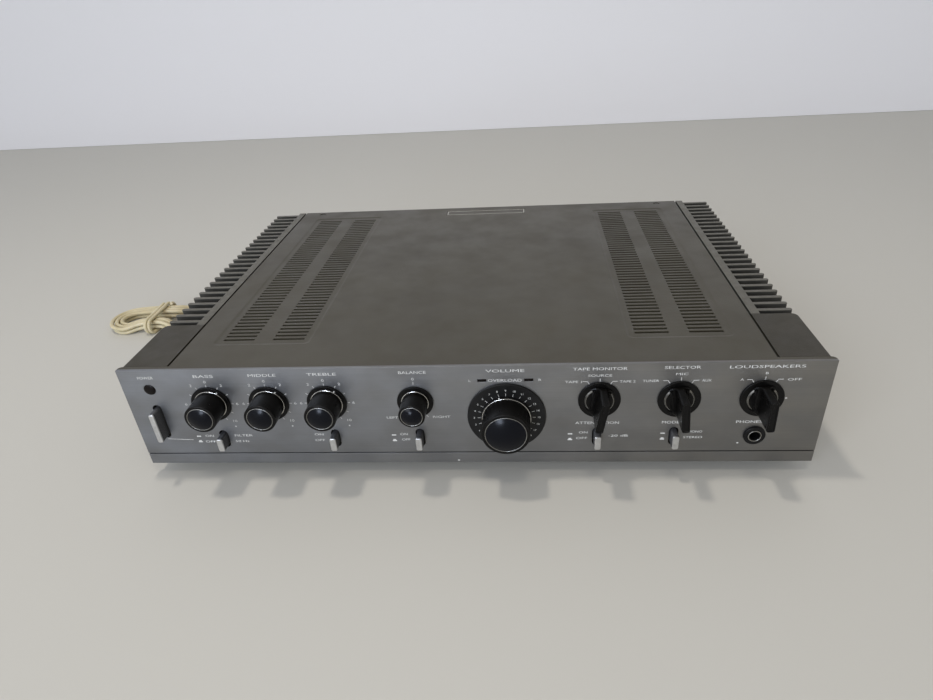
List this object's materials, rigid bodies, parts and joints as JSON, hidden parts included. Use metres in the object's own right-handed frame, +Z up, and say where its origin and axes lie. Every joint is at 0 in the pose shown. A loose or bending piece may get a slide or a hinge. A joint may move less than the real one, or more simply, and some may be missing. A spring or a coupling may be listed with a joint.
{
  "type": "stereo amplifier",
  "caption": "Low wide stereo amplifier with a brushed front panel, turning knobs, push buttons, finned sides and a slotted top cover, with a tied mains cord.",
  "frame": {"origin": "on the ground under the middle of the box of the amplifier without its cord", "axes": "+X to the right along the front panel, +Y from the front panel to the back, +Z up"},
  "size_m": [0.6293, 0.4085, 0.089],
  "materials": {
    "brushed_panel": "brushed, anodised grey",
    "case_paint": "fine satin paint, dark olive grey",
    "block_paint": "casting with the same satin paint",
    "sink_paint": "extrusion with a dark satin coat",
    "rear_paint": "satin paint, dark grey",
    "plated_sheet": "zinc-plated sheet",
    "foot_rubber": "matt black rubber",
    "screw_steel": "plated",
    "dial_black": "black with white figures",
    "lamp_red": "dark red lens",
    "socket_black": "black moulding",
    "control_case": "pressed metal case",
    "switch_board": "laminate wafers",
    "switch_case": "moulded cases",
    "brass_nut": "plated brass",
    "core_iron": "lacquered laminations",
    "copper_winding": "enamelled copper under tape",
    "capacitor_sleeve": "sleeved cans",
    "board_green": "lacquered laminate with parts",
    "transistor_can": "nickel-plated cans",
    "cord_cream": "aged cream PVC",
    "plug_cream": "aged cream moulding",
    "knob_black": "glossy black",
    "cap_dark": "glossy blue-black with a bright rim",
    "shaft_steel": "ground",
    "button_silver": "metallised face on a black moulding"
  },
  "bodies": {
    "chassis": {"fascia": "brushed_panel", "lower_strip": "brushed_panel", "front_frame": "case_paint", "inner_plate": "plated_sheet", "base_plate": "plated_sheet", "rear_panel": "rear_paint", "top_cover": "case_paint", "heat_sinks": "sink_paint", "side_blocks": "block_paint", "cover_rails": "plated_sheet", "feet": "foot_rubber", "screws": "screw_steel", "volume_dial": "dial_black", "indicator_lamps": "lamp_red", "headphone_jack": "socket_black", "potentiometers": "control_case", "rotary_switches": "switch_board", "push_switches": "switch_case", "control_nuts": "brass_nut", "transformer_core": "core_iron", "transformer_winding": "copper_winding", "filter_capacitors": "capacitor_sleeve", "circuit_boards": "board_green", "board_pillars": "brass_nut", "output_transistors": "transistor_can", "input_sockets": "socket_black", "speaker_sockets": "socket_black", "fuse_holders": "socket_black", "cord_gland": "cord_cream", "cord_lead": "cord_cream", "cord_hank": "cord_cream", "cord_tie": "cord_cream", "mains_plug": "plug_cream"},
    "bass_control": {"bass_knob": "knob_black", "bass_cap": "cap_dark", "bass_shaft": "shaft_steel"},
    "mid_control": {"mid_knob": "knob_black", "mid_cap": "cap_dark", "mid_shaft": "shaft_steel"},
    "treble_control": {"treble_knob": "knob_black", "treble_cap": "cap_dark", "treble_shaft": "shaft_steel"},
    "balance_control": {"balance_knob": "knob_black", "balance_cap": "cap_dark", "balance_shaft": "shaft_steel"},
    "volume_control": {"volume_knob": "knob_black", "volume_cap": "cap_dark", "volume_shaft": "shaft_steel"},
    "monitor_switch": {"monitor_knob": "knob_black", "monitor_shaft": "shaft_steel"},
    "source_switch": {"source_knob": "knob_black", "source_shaft": "shaft_steel"},
    "speaker_switch": {"speaker_knob": "knob_black", "speaker_shaft": "shaft_steel"},
    "filter_push": {"filter_button": "button_silver"},
    "tone_push": {"tone_button": "button_silver"},
    "loudness_push": {"loudness_button": "button_silver"},
    "mute_push": {"mute_button": "button_silver"},
    "mode_push": {"mode_button": "button_silver"},
    "power_push": {"power_button": "button_silver"}
  },
  "joints": [
    {"name": "bass_turn", "type": "hinge", "parent": "chassis", "child": "bass_control", "pos_m": [-0.1713, -0.154, 0.062], "axis": [0, 1, 0], "range_deg": [-180, 120]},
    {"name": "mid_turn", "type": "hinge", "parent": "chassis", "child": "mid_control", "pos_m": [-0.1313, -0.154, 0.062], "axis": [0, 1, 0], "range_deg": [-180, 120]},
    {"name": "treble_turn", "type": "hinge", "parent": "chassis", "child": "treble_control", "pos_m": [-0.0916, -0.154, 0.062], "axis": [0, 1, 0], "range_deg": [-180, 120]},
    {"name": "balance_turn", "type": "hinge", "parent": "chassis", "child": "balance_control", "pos_m": [-0.0323, -0.154, 0.062], "axis": [0, 1, 0], "range_deg": [-150, 150]},
    {"name": "volume_turn", "type": "hinge", "parent": "chassis", "child": "volume_control", "pos_m": [0.0274, -0.154, 0.0498], "axis": [0, 1, 0], "range_deg": [-135, 165]},
    {"name": "monitor_turn", "type": "hinge", "parent": "chassis", "child": "monitor_switch", "pos_m": [0.0874, -0.154, 0.062], "axis": [0, 1, 0], "range_deg": [-30, 30]},
    {"name": "source_turn", "type": "hinge", "parent": "chassis", "child": "source_switch", "pos_m": [0.1377, -0.154, 0.062], "axis": [0, 1, 0], "range_deg": [-30, 30]},
    {"name": "speaker_turn", "type": "hinge", "parent": "chassis", "child": "speaker_switch", "pos_m": [0.1889, -0.154, 0.062], "axis": [0, 1, 0], "range_deg": [-30, 30]},
    {"name": "filter_press", "type": "slide", "parent": "chassis", "child": "filter_push", "axis": [0, 1, 0], "range_m": [0, 0.004], "stiffness_N_per_m": 200},
    {"name": "tone_press", "type": "slide", "parent": "chassis", "child": "tone_push", "axis": [0, 1, 0], "range_m": [0, 0.004], "stiffness_N_per_m": 200},
    {"name": "loudness_press", "type": "slide", "parent": "chassis", "child": "loudness_push", "axis": [0, 1, 0], "range_m": [0, 0.004], "stiffness_N_per_m": 200},
    {"name": "mute_press", "type": "slide", "parent": "chassis", "child": "mute_push", "axis": [0, 1, 0], "range_m": [0, 0.004], "stiffness_N_per_m": 200},
    {"name": "mode_press", "type": "slide", "parent": "chassis", "child": "mode_push", "axis": [0, 1, 0], "range_m": [0, 0.004], "stiffness_N_per_m": 200},
    {"name": "power_press", "type": "slide", "parent": "chassis", "child": "power_push", "axis": [0, 1, 0], "range_m": [0, 0.004], "stiffness_N_per_m": 200}
  ]
}
